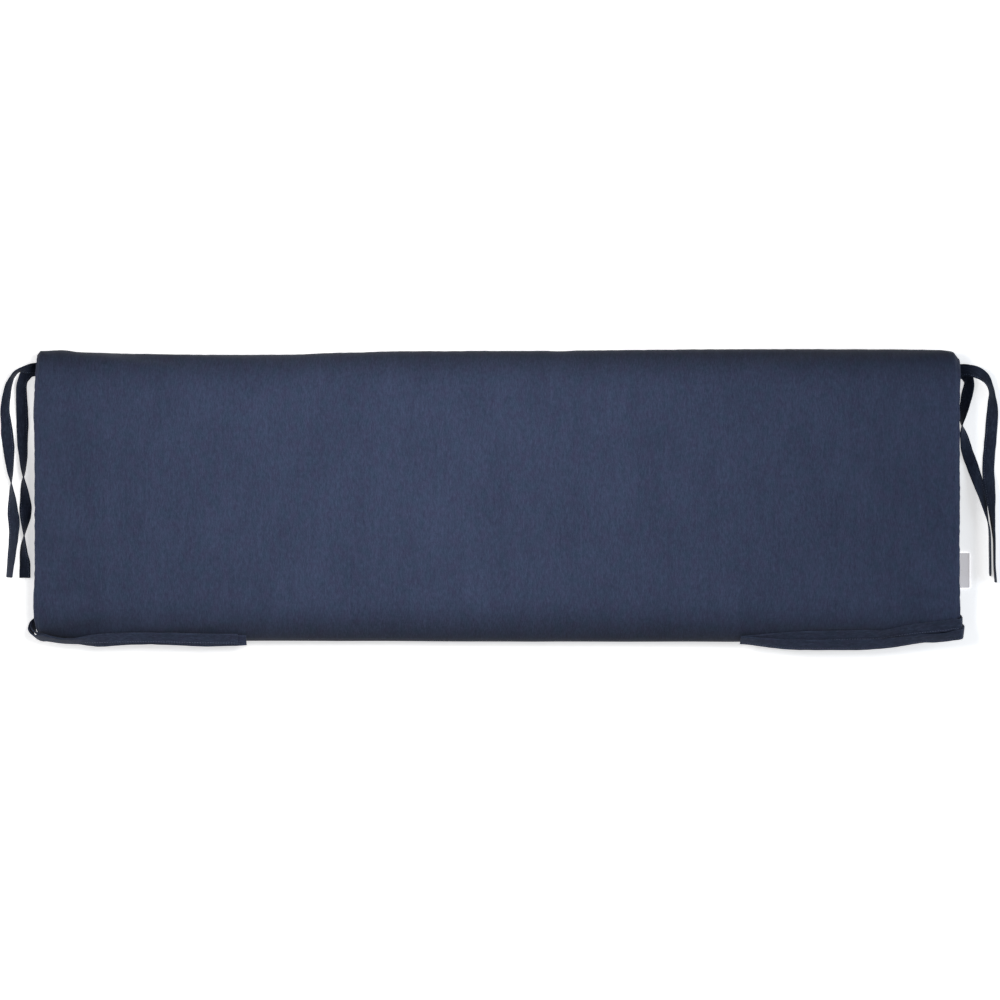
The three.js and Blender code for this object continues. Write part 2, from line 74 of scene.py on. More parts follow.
# A corner's rounding in plan, in millimetres: its reach along the edge and across it.
CORNERS = {("back", -1): (5, 4), ("back", 1): (24, 18), ("front", -1): (8, 5), ("front", 1): (12, 9)}
CORNER_ROUNDNESS = 0.98

# The cover's mesh: the size of its squares, the rings near an end seam, and an end panel's rings.
SQUARE = 7 * MM
NEAR_SEAM = np.array([0, 2.2, 5.2, 9.2, 14.2, 20.4]) * MM
PANEL_SHARES = [0.93, 0.8, 0.6, 0.4, 0.2, 0.0]
HALF_ROUND = 62
RING_DEGREES = np.linspace(90, -90, 361)

# The filled cover stands a little proud of the part's solid along its two long edges.
BACK_PROUD = 3.6 * MM
FRONT_PROUD = 1.2 * MM
# The cover's own corners are crisper, and the left ones are drawn out to a point.
COVER_CORNERS = {
    ("back", -1): (6, -2), ("back", 1): (22, 6.5),
    ("front", -1): (7, -3), ("front", 1): (13, 10),
}
# How far along an end panel, from its back and front corners, the bulge takes to rise, for each end.
# Its middle line ends a share of its half height short of each corner, and a share of the bulge is left.
PANEL_EASE = {-1: (66 * MM, 36 * MM), 1: (2 * MM, 2 * MM)}
PANEL_POWER = 4
PANEL_LINE_SHARE = 0.9
PANEL_BULGE_SHARE = 0.92

# The cover is sewn a little small and the filling presses it out.
SLACK = 2.0 * MM
SWELL_CAP = 5.0 * MM
SWELL_FRAMES = 20
FLAT_HEIGHT = 0.5 * MM
SEAM_REACH = 3 * MM
SEAM_HOLD = 0.6
SWELL_SETTINGS = {
    "quality": 5, "mass": 0.2, "bending_stiffness": 1.5,
    "tension_stiffness": 25, "compression_stiffness": 25, "shear_stiffness": 12,
    "vertex_group_mass": "held", "pin_stiffness": 1.0,
    "vertex_group_shrink": "puckered", "shrink_max": 0.05,
    "use_pressure": True, "uniform_pressure_force": 4.0,
}

# The seams: a shallow valley between two low ridges, with puckers beside it.
SEAM_WIDTH = 1.8 * MM
SEAM_DEPTH = 0.9 * MM
SEAM_RIDGE = 0.35 * MM
RIDGE_PLACE = 2.4 * SEAM_WIDTH
PUCKER_REACH = 9 * MM
PUCKER_LENGTH = 8 * MM
PUCKER_HEIGHT = 0.9 * MM
CLOSING_PUCKER_HEIGHT = 0.6 * PUCKER_HEIGHT
PUCKER_END = 6 * PUCKER_REACH
UNEVENNESS = 0.35 * MM

# Painted shade on the two long rolls: the cloth's colour darkens from the reach to each long edge: how much,
# how suddenly.
ROLL_SHADE_REACH = 62 * MM
ROLL_PAINTED_SHADE = {"front": (0.54, 1.7), "back": (0.58, 2.5)}
ROLL_SHADE_END = 3 * MM
# Painted shade on the sides and the underside: the share of the colour kept low down, and the heights between
# which it darkens.
UNDERSIDE_PAINTED_SHADE = 0.62
UNDERSIDE_SHADE_HEIGHTS = (15 * MM, 45 * MM)

# How much of the cloth's tone comes from its warp, slubs, weft and broad patches, and how far along a yarn
# the tone changes.
WARP_SHARE, SLUB_SHARE, WEFT_SHARE, BROAD_SHARE = 0.56, 0.18, 0.14, 0.18
WARP_RUN, SLUB_RUN, WEFT_RUN = 7 * MM, 48 * MM, 9 * MM

# The ties: strips of the cover cloth, folded in four and stitched near the open edge.
TIE_WIDTH = 16 * MM
TIE_THICKNESS = 1.8 * MM
TIE_STEPS = 6
# How much a tie's width, line and thickness vary, and how far apart the humps are.
WIDTH_CHANGE, WIDTH_HUMPS = 0.05, 11 * MM
LINE_CHANGE, LINE_HUMPS = 0.5 * MM, 17 * MM
THICKNESS_CHANGE, THICKNESS_HUMPS = 0.08, 6 * MM
END_ROUNDING = 1.6 * MM
# The stitches, beside the open edge, and how far each pulls the tie in.
STITCH_INSET = 2.6 * MM
STITCH_SHARE = STITCH_INSET / TIE_WIDTH - 0.5
STITCH_PULL, STITCH_PULL_SHARE = 0.12, 0.05
STITCH_PITCH = 3.4 * MM
STITCH_HALVES = (1.25 * MM, 0.26 * MM, 0.2 * MM)
STITCH_OFFSET = 0.36 * TIE_THICKNESS
STITCH_FLOOR = 0.4 * MM
REST_GAP = 0.1 * MM
ROOT_HIDDEN = 8 * MM

# Where the front ties lie on the cover: the gap kept, the depth that is searched, and the band by the edge.
TIE_CLEARANCE = 0.4 * MM
PRESS_SEARCH = 9 * MM
PRESS_BAND = 45 * MM
PRESS_ROUNDS = 10

# The label: a ribbon cut twice the length that shows and folded in two.
LABEL_THICKNESS = 0.45 * MM
LABEL_HIDDEN = 1 * MM
LABEL_STEPS = 14
# Its upper and lower layers: the height at the seam, how far each falls to the fold, and how suddenly.
LABEL_LAYERS = [(3.9 * MM, 2.5 * MM, 0.8), (2.9 * MM, 2.4 * MM, 0.7)]
LABEL_FOLD_HEIGHT = 1 * MM
LABEL_FOLD = (0.55 * MM, 0.5 * MM)
# The ribbon glows a little: painted light that brightens the label where it lies in the cushion's shadow.
RIBBON_PAINTED_LIGHT = 0.22

# The view: the size of a pixel of the photograph at the cushion's widest line.
CAMERA_HEIGHT = 5.0
PIXEL_SIZE = 1.3165 * MM
PHOTO_PIXELS = 1000
PHOTO_PLANE = 28 * MM
CAMERA_SPOT = (3.7 * MM, -4.9 * MM)
# The white table is lit a little from beneath, so that the cushion's shadow on it stays faint.
FLOOR_GLOW = 0.55
# The light of the room, and the fill from each side: its power and tint. The one by the label is a
# little cooler.
ROOM_LIGHT = 0.25
SIDE_LIGHTS = [(-1, 7.2, (1, 1, 1)), (1, 10, (0.78, 0.88, 1))]


def clamp01(t):
    return min(1.0, max(0.0, t))


def table_value(rows, x):
    """A smooth value between a table's rows, for a place in metres and an inset in millimetres."""
    x = x / MM
    i = 0
    while i < len(rows) - 2 and x > rows[i + 1][0]:
        i += 1
    (x0, v0), (x1, v1) = rows[i], rows[i + 1]
    t = clamp01((x - x0) / (x1 - x0))
    return (v0 + (v1 - v0) * t * t * (3 - 2 * t)) * MM


def corner_inset(corners, edge, side, from_seam):
    along, across = corners[edge, side]
    t = clamp01(1 - from_seam / (along * MM))
    return across * MM * (1 - math.sqrt(1 - t * t * CORNER_ROUNDNESS))


def section_sizes(x, corners=CORNERS, proud=(0.0, 0.0)):
    """The section's front and back at x, and how far it rises and falls from its widest line."""
    side = -1 if x < 0 else 1
    from_seam = max(0.0, SEAM_X - abs(x))
    fullness = 1 - (1 - clamp01(from_seam / END_EASE)) ** END_EASE_POWER
    front_inset = table_value(FRONT_EDGE, x) + corner_inset(corners, "front", side, from_seam)
    back_inset = table_value(BACK_EDGE, x) + corner_inset(corners, "back", side, from_seam)
    front = front_inset - HALF_DEPTH - proud[0]
    back = HALF_DEPTH + proud[1] - back_inset
    up = END_HALF_HEIGHT + (CROWN - MID_HEIGHT - END_HALF_HEIGHT) * fullness
    down = END_HALF_HEIGHT + (MID_HEIGHT + BASE_PRESS - END_HALF_HEIGHT) * fullness
    return front, back, up, down, fullness


def superellipse(u, power):
    return np.sqrt(np.maximum(0, 1 - np.abs(u) ** power))


def even_steps(points, count):
    """Points at even steps along a line, and the cloth's length at each."""
    steps = np.linalg.norm(np.diff(points, axis=0), axis=1)
    lengths = np.concatenate([[0], np.cumsum(steps)])
    marks = np.linspace(0, lengths[-1], count + 1)
    return np.column_stack([np.interp(marks, lengths, column) for column in points.T]), marks


def cover_ring(x, slack):
    """The wrap panel's line at x: y, z and cloth length from the middle of the face.

    It starts at the closing seam on the back edge, runs over the face and comes back underneath.
    """
    front, back, up, down, fullness = section_sizes(x, COVER_CORNERS, (FRONT_PROUD, BACK_PROUD))
    half, middle = (back - front) / 2 - slack * fullness, (back + front) / 2
    u = np.sin(np.radians(RING_DEGREES))
    face_height = (up - slack * fullness) * superellipse(u, SHOULDER_POWER)
    face = np.column_stack([middle + half * u, MID_HEIGHT + face_height])
    base = np.column_stack([middle + half * u, MID_HEIGHT - down * superellipse(u, BASE_POWER)])[::-1]
    base[:, 1] = np.maximum(0, base[:, 1])
    face, face_marks = even_steps(face, HALF_ROUND)
    base, base_marks = even_steps(base, HALF_ROUND)
    marks = np.concatenate([face_marks, face_marks[-1] + base_marks[1:]]) - face_marks[-1] / 2
    return np.vstack([face, base[1:]]), marks


def deselect_all():
    bpy.ops.object.select_all(action="DESELECT")


def make_active(obj):
    deselect_all()
    obj.select_set(True)
    bpy.context.view_layer.objects.active = obj


def coordinates(mesh):
    points = np.empty(len(mesh.vertices) * 3)
    mesh.vertices.foreach_get("co", points)
    return points.reshape(-1, 3)


def set_coordinates(mesh, points):
    mesh.vertices.foreach_set("co", np.ascontiguousarray(points, dtype=float).ravel())
    mesh.update()


def vertex_normals(mesh):
    normals = np.empty(len(mesh.vertices) * 3, dtype=np.float32)
    mesh.vertices.foreach_get("normal", normals)
    return normals.reshape(-1, 3)


def wrapped_grid(name, rings, cloth_uv, measures=None):
    """A grid whose columns are bent into rings. cloth_uv gives a loop's place on the flat cloth, in metres.

    measures are named tables with a value for each point, kept on the mesh.
    """
    rows, around = len(rings), len(rings[0])
    deselect_all()
    bpy.ops.mesh.primitive_grid_add(x_subdivisions=rows - 1, y_subdivisions=around - 1, size=1)
    obj = bpy.context.object
    obj.name = obj.data.name = name
    mesh = obj.data
    flat = coordinates(mesh)
    row = np.rint((flat[:, 0] + 0.5) * (rows - 1)).astype(int)
    column = np.rint((flat[:, 1] + 0.5) * (around - 1)).astype(int)
    set_coordinates(mesh, np.array(rings)[row, column])
    layer = mesh.uv_layers[0]
    layer.name = "cloth"
    for face in mesh.polygons:
        face_rows = sorted({int(row[v]) for v in face.vertices})
        for loop in face.loop_indices:
            v = mesh.loops[loop].vertex_index
            layer.data[loop].uv = cloth_uv(int(row[v]), int(column[v]), face_rows)
    for label, table in (measures or {}).items():
        attribute = mesh.attributes.new(label, "FLOAT", "POINT")
        attribute.data.foreach_set("value", np.asarray(table, dtype=np.float32)[row, column])
    return obj


def measure(mesh, label):
    values = np.empty(len(mesh.vertices), dtype=np.float32)
    mesh.attributes[label].data.foreach_get("value", values)
    return values


def close_up(obj, threshold=1e-5, fill_ends=False):
    """Merges the edges that meet, closes open ends and turns the faces outwards."""
    make_active(obj)
    bpy.ops.object.mode_set(mode="EDIT")
    bpy.ops.mesh.select_all(action="SELECT")
    bpy.ops.mesh.remove_doubles(threshold=threshold)
    if fill_ends:
        bpy.ops.mesh.select_all(action="DESELECT")
        bpy.ops.mesh.select_mode(type="EDGE")
        bpy.ops.mesh.select_non_manifold()
        bpy.ops.mesh.edge_face_add()
    bpy.ops.mesh.select_all(action="SELECT")
    bpy.ops.mesh.normals_make_consistent(inside=False)
    bpy.ops.mesh.select_mode(type="VERT")
    bpy.ops.object.mode_set(mode="OBJECT")


def apply_modifier(obj, kind, **settings):
    make_active(obj)
    modifier = obj.modifiers.new(kind.title(), kind)
    for key, value in settings.items():
        setattr(modifier, key, value)
    bpy.ops.object.modifier_apply(modifier=modifier.name)


# The cushion

def cover_rows():
    """Each row of the cover's mesh: its kind, its x, and an end panel row's share of the panel's height."""
    inner = SEAM_X - NEAR_SEAM[-1]
    count = round(2 * inner / SQUARE)
    middle = np.linspace(-inner, inner, count + 1)[1:-1]
    wrap = np.concatenate([-SEAM_X + NEAR_SEAM, middle, (SEAM_X - NEAR_SEAM)[::-1]])
    left = [("panel", -1, share) for share in PANEL_SHARES[::-1]]
    right = [("panel", 1, share) for share in PANEL_SHARES]
    return left + [("wrap", float(x), 1.0) for x in wrap] + right


def panel_ring(side, share):
    """One row of an end panel, drawn in from its seam to the panel's middle line."""
    ring, marks = cover_ring(side * SEAM_X, 0)
    partner = ring[::-1]
    middle_y = (ring[:, 0] + partner[:, 0]) / 2
    drawn_in = 1 - END_HALF_HEIGHT * PANEL_LINE_SHARE / HALF_DEPTH
    line = np.column_stack([middle_y * drawn_in, np.full(len(ring), MID_HEIGHT)])
    y, z = (line + (ring - line) * share).T
    from_back, from_front = (np.clip((HALF_DEPTH - sign * y) / ease, 0, 1)
                             for sign, ease in zip((1, -1), PANEL_EASE[side]))
    ease = np.minimum(from_back, from_front)
    fullness = ease * ease * (3 - 2 * ease)
    x = side * (SEAM_X + END_BULGE * superellipse(share, PANEL_POWER) * PANEL_BULGE_SHARE * fullness)
    return np.column_stack([x, y, z]), marks


def make_cover():
    rows = cover_rows()
    rings, marks, from_seam = [], [], []
    for kind, place, share in rows:
        if kind == "wrap":
            ring, mark = cover_ring(place, SLACK)
            ring = np.column_stack([np.full(len(ring), place), ring])
            gap = SEAM_X - abs(place)
        else:
            ring, mark = panel_ring(place, share)
            gap = END_HALF_HEIGHT * (1 - share)
        rings.append(ring)
        marks.append(mark)
        from_seam.append(np.full(len(ring), gap))
    marks = np.array(marks)
    from_closing = np.minimum(marks - marks[:, :1], marks[:, -1:] - marks)

    def cloth_uv(row, column, face_rows):
        if any(rows[r][0] == "panel" for r in face_rows):
            _, y, z = rings[row][column]
            return y, z
        return rows[row][1], marks[row][column]

    cover = wrapped_grid("cushion_cover", rings, cloth_uv, {
        "from_seam": from_seam,
        "from_closing": from_closing,
        "run": marks,
    })
    close_up(cover)
    return cover


def swell(cover):
    """Presses the cover out by its filling with a cloth simulation, and keeps each point near its start."""
    start = coordinates(cover.data)
    held = cover.vertex_groups.new(name="held")
    puckered = cover.vertex_groups.new(name="puckered")
    for i, (x, y, z) in enumerate(start):
        if z < FLAT_HEIGHT:
            held.add([i], 1.0, "REPLACE")
        if abs(abs(x) - SEAM_X) < SEAM_REACH:
            puckered.add([i], 1.0, "REPLACE")
            held.add([i], SEAM_HOLD, "REPLACE")
    make_active(cover)
    cloth = cover.modifiers.new("Cloth", "CLOTH")
    for name, value in SWELL_SETTINGS.items():
        setattr(cloth.settings, name, value)
    cloth.settings.effector_weights.gravity = 0
    cloth.collision_settings.use_collision = False
    cloth.point_cache.frame_start = 1
    cloth.point_cache.frame_end = SWELL_FRAMES
    scene = bpy.context.scene
    for f in range(1, SWELL_FRAMES + 1):
        scene.frame_set(f)
    evaluated = cover.evaluated_get(bpy.context.evaluated_depsgraph_get())
    move = coordinates(evaluated.data) - start
    cover.modifiers.remove(cloth)
    scene.frame_set(1)
    reach = np.linalg.norm(move, axis=1)
    move *= (SWELL_CAP * np.tanh(reach / SWELL_CAP) / np.maximum(reach, 1e-9))[:, None]
    moved = start + move
    moved[:, 2] = np.maximum(0, moved[:, 2])
    fit_depth(start, moved)
    set_coordinates(cover.data, moved)


def fit_depth(start, moved):
    """Lets each line of the wrap panel out again to the depth that its filling gives it."""
    lines = np.rint(start[:, 0] / MM * 10).astype(int)
    for line in np.unique(lines):
        on_line = lines == line
        x = start[on_line, 0][0]
        if abs(x) > SEAM_X:
            continue
        front, back = section_sizes(x, COVER_CORNERS, (FRONT_PROUD, BACK_PROUD))[:2]
        y = moved[on_line, 1]
        moved[on_line, 1] = front + (y - y.min()) * (back - front) / (y.max() - y.min())


def wander(values, length, seed):
    """Smooth noise along a run of values, one hump about every length."""
    return np.array([noise.noise((v / length, seed, 0.5)) for v in values])


def sew_details(cover):
    """Draws the seams in and raises the small puckers beside them and the filling's soft unevenness."""
    mesh = cover.data
    points = coordinates(mesh)
    normals = vertex_normals(mesh)
    gap, closing, run = (measure(mesh, label) for label in ("from_seam", "from_closing", "run"))
    side = np.sign(points[:, 0]) * 10 + np.where(np.abs(points[:, 0]) > SEAM_X, 3, 0)
    lift = np.zeros(len(points))
    near = gap < PUCKER_END
    pucker = np.zeros(len(points))
    pucker[near] = [
        noise.noise((r / PUCKER_LENGTH, s, g / (5 * PUCKER_LENGTH)))
        + 0.5 * noise.noise((2.3 * r / PUCKER_LENGTH, s, 7))
        for r, s, g in zip(run[near], side[near], gap[near])
    ]
    lift += pucker * PUCKER_HEIGHT * np.exp(-gap / PUCKER_REACH) * (1 - np.exp(-gap / SEAM_WIDTH))
    for distance in (gap, closing):
        lift -= SEAM_DEPTH * np.exp(-(distance / SEAM_WIDTH) ** 2)
        lift += SEAM_RIDGE * np.exp(-((distance - RIDGE_PLACE) / SEAM_WIDTH) ** 2)
    beside = closing < PUCKER_END
    waves = wander(points[beside, 0], PUCKER_LENGTH, 4.5)
    lift[beside] += (CLOSING_PUCKER_HEIGHT * waves * np.exp(-closing[beside] / PUCKER_REACH)
                     * (1 - np.exp(-closing[beside] / SEAM_WIDTH)))
    uneven = np.array([
        noise.noise((x / 0.11, y / 0.06, z / 0.06)) + 0.5 * noise.noise((x / 0.04, y / 0.03, z / 0.03 + 9))
        for x, y, z in points
    ])
    lift += UNEVENNESS * uneven
    lift[points[:, 2] < FLAT_HEIGHT] = 0
    points += normals * lift[:, None]
    points[:, 2] = np.maximum(0, points[:, 2])
    set_coordinates(mesh, points)


def press_under(cover, ties):
    """Presses the cover in where a tie lies on it, so that the two stay a little apart."""
    trees = []
    for tie in ties:
        verts = [v.co.copy() for v in tie.data.vertices]
        trees.append(BVHTree.FromPolygons(verts, [tuple(f.vertices) for f in tie.data.polygons]))
    mesh = cover.data
    points, normals = coordinates(mesh), vertex_normals(mesh)
    edges = np.empty(len(mesh.edges) * 2, dtype=int)
    mesh.edges.foreach_get("vertices", edges)
    edges = edges.reshape(-1, 2)
    needed = np.zeros(len(points))
    reach = PRESS_SEARCH + TIE_CLEARANCE
    for i in np.flatnonzero(points[:, 1] < PRESS_BAND - HALF_DEPTH):
        origin = Vector(points[i] - normals[i] * PRESS_SEARCH)
        for tree in trees:
            hit, _, _, distance = tree.ray_cast(origin, Vector(normals[i]), reach)
            if hit is not None:
                needed[i] = max(needed[i], reach - distance)
    depth = needed.copy()
    count = np.bincount(edges.ravel(), minlength=len(points))
    for _ in range(PRESS_ROUNDS):
        around = np.zeros(len(points))
        np.add.at(around, edges[:, 0], depth[edges[:, 1]])
        np.add.at(around, edges[:, 1], depth[edges[:, 0]])
        depth = np.maximum(needed, around / np.maximum(count, 1))
    points -= normals * depth[:, None]
    set_coordinates(mesh, points)


def make_cushion(ties):
    cover = make_cover()
    swell(cover)
    apply_modifier(cover, "SUBSURF", levels=1, render_levels=1, uv_smooth="PRESERVE_BOUNDARIES")
    sew_details(cover)
    press_under(cover, ties)
    make_active(cover)
    bpy.ops.object.shade_smooth()
    return cover


# The ties

def on_floor(x, y, across, slope, lift=0):
    """A row of a tie on the surface: its lower edge touches it, plus any lift. Millimetres and degrees."""
    s = math.radians(slope)
    rest = (TIE_WIDTH * abs(math.sin(s)) + TIE_THICKNESS * abs(math.cos(s))) / 2
    return x * MM, y * MM, rest + lift * MM, across, slope, 0


def at(x, y, z, across, slope):
    return x * MM, y * MM, z * MM, across, slope, 0


def on_roll(x, inside, slope, lift, cup=0):
    """A row of a tie on the front roll, inside the front edge and lifted off the roll's touching line."""
    x, inside, lift, s = x * MM, inside * MM, lift * MM, math.radians(slope)
    front, back, up, _, _ = section_sizes(x)
    half = (back - front) / 2
    low, high = 0.0, 1 - 1e-9
    for _ in range(40):
        u = (low + high) / 2
        steepness = (up / half) * (SHOULDER_POWER / 2) * u ** (SHOULDER_POWER - 1)
        steepness /= math.sqrt(1 - u ** SHOULDER_POWER)
        low, high = (u, high) if steepness < math.tan(s) else (low, u)
    touch_y = (front + back) / 2 - half * low
    touch_z = MID_HEIGHT + up * math.sqrt(1 - low ** SHOULDER_POWER)
    y = front + inside
    return x, y, touch_z - (touch_y - y) * math.tan(s) + lift / math.cos(s), 90, slope, cup


# The ties' rows, from each one's sewn root to its free end, in millimetres and degrees.
TIES = {}
TIES["tie_back_left_outer"] = ([
    on_floor(-599, 168.5, 90, 8, 7.4),
    on_floor(-606, 168.6, 90, 8, 7.6),
    on_floor(-613, 168.5, 91, 18, 8.6),
    on_floor(-620.2, 168, 94, 48, 10),
    on_floor(-628.1, 166.3, 103, 70, 10.6),
    on_floor(-633.6, 164.1, 118, 82, 8.6),
    on_floor(-637.6, 161, 134, 84, 5),
    on_floor(-641.2, 157, 147, 79, 2),
    on_floor(-643.6, 152.6, 156, 73, 0.6),
    on_floor(-645.5, 148, 163, 67),
    on_floor(-647.2, 141.4, 170, 62),
    on_floor(-648.6, 133.4, 176, 57),
    on_floor(-650.1, 123.3, 180, 54),
    on_floor(-650.8, 111.4, 180, 49),
    on_floor(-649.4, 96, 180, 36),
    on_floor(-648.5, 85, 180, 18),
    on_floor(-647.3, 72, 180, 8),
    on_floor(-646, 60, 180, 30),
    on_floor(-645.2, 51, 180, 47),
    on_floor(-644.6, 42.7, 180, 56),
    on_floor(-643.8, 32, 180, 71),
    on_floor(-642.6, 21.5, 180, 90),
    on_floor(-642, 11, 180, 110),
    on_floor(-641.3, 0.4, 180, 126),
    on_floor(-640.8, -10.2, 180, 142),
    on_floor(-640.3, -20.8, 180, 156),
    on_floor(-639.6, -31.3, 180, 166),
    on_floor(-638.9, -42, 180, 156),
    on_floor(-639.3, -52.5, 180, 147),
    on_floor(-640.4, -65, 180, 140),
    on_floor(-642, -79, 180, 135.5),
    on_floor(-643.7, -94.8, 180, 128),
    on_floor(-645, -107.4, 180, 125),
], [])
TIES["tie_back_left_inner"] = ([
    on_floor(-599, 166.5, 90, 4, 2.6),
    on_floor(-606, 166.8, 92, 4, 2),
    on_floor(-612.5, 166.6, 98, 8, 1),
    on_floor(-618.4, 165, 112, 18, 0.4),
    on_floor(-623.2, 161.4, 136, 20),
    on_floor(-626.2, 156.2, 156, 38),
    on_floor(-628.2, 149.6, 170, 42),
    on_floor(-629.2, 141, 178, 35),
    on_floor(-629.1, 130, 180, 29),
    on_floor(-628.7, 115.6, 180, 20),
    on_floor(-628.2, 96, 180, 9),
    on_floor(-628.1, 79, 180, 32),
    on_floor(-627.5, 63, 180, 44),
    on_floor(-626.6, 52, 180, 56),
    on_floor(-626.5, 41.5, 180, 67),
    on_floor(-626.2, 29, 180, 88),
    on_floor(-626, 20.4, 180, 111),
    on_floor(-625.3, 9.8, 180, 131),
    on_floor(-624.4, -0.8, 180, 148),
    on_floor(-624.1, -11.3, 180, 170),
    on_floor(-624, -21.9, 180, 197),
    on_floor(-624.3, -32.5, 180, 232),
    on_floor(-624.8, -43.1, 180, 257),
    on_floor(-625.4, -54, 180, 281),
    on_floor(-626, -64.2, 180, 300),
    on_floor(-625.8, -74.8, 180, 315),
    on_floor(-625, -85.4, 180, 332),
    on_floor(-624.8, -96, 180, 339),
    on_floor(-624.8, -108, 180, 342),
], [])
TIES["tie_back_right_outer"] = ([
    on_floor(599, 167, 90, 8, 7.4),
    on_floor(606, 167, 90, 8, 7.6),
    on_floor(613, 166.8, 90, 8, 9),
    on_floor(621, 166.4, 87, 8, 11),
    on_floor(631, 164.4, 76, 14, 12),
    on_floor(640.8, 159.4, 57, 38, 7.2),
    on_floor(647, 153.4, 40, 58, 3),
    on_floor(650.7, 147.7, 29, 69, 0.8),
    on_floor(653, 142, 18, 72),
    on_floor(654, 136.2, 9, 70),
    on_floor(654.3, 131, 3, 63),
    on_floor(654.8, 124, 0, 50),
    on_floor(655.3, 115.4, 0, 34),
    on_floor(654.8, 105, 0, 20),
    on_floor(654.2, 94, 0, 6),
    on_floor(653, 78, 0, 6),
    on_floor(651.2, 60, 0, 8),
    on_floor(650, 42, 0, 6),
    on_floor(649.7, 29, 0, 8, 2.2),
    on_floor(650.6, 18, 0, 22, 2.8),
    on_floor(651.5, 8, 0, 37, 2.4),
    on_floor(652.3, -2, 0, 48, 2.4),
    on_floor(653.1, -12, 0, 58, 2.2),
    on_floor(654, -22, 0, 68, 1.2),
    on_floor(655, -33, 0, 76),
    on_floor(656, -45, 0, 83),
    on_floor(657, -58, 0, 88),
    on_floor(657.2, -74, 0, 90),
    on_floor(657.4, -92, 0, 91),
    on_floor(658.2, -103, 0, 90),
    on_floor(659, -114, 0, 90),
], [])
TIES["tie_back_right_inner"] = ([
    on_floor(599, 165.4, 90, 4, 2.6),
    on_floor(606, 165.2, 88, 4, 2),
    on_floor(612.5, 164.2, 78, 10, 1.2),
    on_floor(618.6, 161, 56, 22, 0.4),
    on_floor(622.8, 155.4, 28, 36),
    on_floor(624.2, 149.6, 12, 42),
    on_floor(623.6, 143, 0, 34),
    on_floor(621.8, 135.4, 0, 27),
    on_floor(619.8, 127.4, 0, 33),
    on_floor(617.4, 116, 0, 46),
    on_floor(615.3, 105, 0, 64),
    on_floor(614.4, 96, 0, 88),
    on_floor(615.6, 86, 0, 120),
    on_floor(618, 74.4, 0, 143),
    on_floor(620.8, 63, 0, 163),
    on_floor(624.4, 52, 0, 173),
    on_floor(628.2, 41.6, 0, 175),
    on_floor(631.8, 31, 0, 169),
    on_floor(635.4, 20.4, 0, 160),
    on_floor(638.4, 9.9, 0, 147),
    on_floor(641.4, -0.7, 0, 133),
    on_floor(643.9, -11.3, 0, 122),
    on_floor(646.2, -21.8, 0, 110),
    on_floor(648.8, -34, 0, 98),
    on_floor(650.8, -47.2, 0, 92),
    on_floor(651.4, -71, 0, 90),
    on_floor(651.8, -105.4, 0, 90),
], [])
TIES["tie_front_left_upper"] = ([
    at(-599, -167, 4.4, 90, -14),
    at(-606, -167.2, 4.8, 91, -6),
    at(-611.4, -168.4, 8.4, 104, 32),
    at(-614.4, -172, 14.5, 128, 62),
    at(-614.4, -178, 20.5, 146, 69),
    at(-610.8, -183.2, 26, 128, 67),
    at(-603.6, -186.4, 30, 108, 64),
    on_roll(-594, -3.8, 62, 4.8),
    on_roll(-574, -3.4, 65, 4.6),
    on_roll(-554, -0.8, 62, 4.4),
    on_roll(-537, 1.2, 49, 4.4, 6),
    on_roll(-521, 2.2, 37, 4.4, 10),
    on_roll(-501, 3.2, 31, 4.4, 12),
    on_roll(-469, 3.8, 30, 4.4, 12),
    on_roll(-429, 3.4, 30, 4.4, 12),
    on_roll(-390, 2.4, 30, 4.4, 12),
    on_roll(-340, 1.8, 31, 4.4, 12),
], ["cushion"])
TIES["tie_front_left_under"] = ([
    at(-599, -165, 7.6, 90, -14),
    at(-605, -165.2, 8.2, 90, -4),
    at(-609.2, -166.4, 11.6, 102, 34),
    at(-611.2, -170, 17, 126, 62),
    at(-611, -175.4, 22, 142, 69),
    at(-607.6, -180, 26.6, 126, 67),
    at(-601, -182.9, 30, 108, 64),
    on_roll(-591, -2.8, 62, 1.6),
    on_roll(-572, -3, 65, 1.5),
    on_roll(-552, -1, 62, 1.5),
    on_roll(-535, -2, 50, 1.6, 6),
    on_roll(-519, -2.1, 38, 1.8, 10),
    on_roll(-499, 0.2, 32, 1.9, 12),
    on_roll(-460, 1.8, 31, 1.9, 12),
    on_roll(-420, 0.4, 31, 1.9, 12),
    on_roll(-380, -1.2, 31, 1.9, 12),
    on_roll(-329, 0.2, 32, 1.9, 12),
], ["cushion"])
TIES["tie_front_right_inner"] = ([
    at(599, -162, 8.6, 90, -2),
    at(605, -162.4, 9, 90, -2),
    at(608.9, -163, 13.4, 90, 0),
    at(610.2, -164, 22, 90, 4),
    at(610.4, -165.2, 34, 90, 8),
    at(609.4, -166.6, 46.5, 90, 12),
    at(605.4, -168, 53.4, 90, 17),
    on_roll(598, 20.6, 20, 1.9),
    on_roll(588, 19.6, 20, 1.6),
    on_roll(562, 17, 21, 1.4),
    on_roll(542, 14.8, 25, 1.4),
    on_roll(522, 11.4, 40, 1.6),
    on_roll(507, 9, 42, 1.6),
    on_roll(494, 8.2, 34, 1.4),
    on_roll(476, 8.2, 30, 1.4),
    on_roll(437, 7.4, 30, 1.4),
    on_roll(397, 6.6, 31, 1.4),
    on_roll(371, 5.2, 36, 1.4),
    on_roll(345, 3.4, 44, 1.4),
    on_roll(320, 2, 52, 1.4),
], ["cushion"])
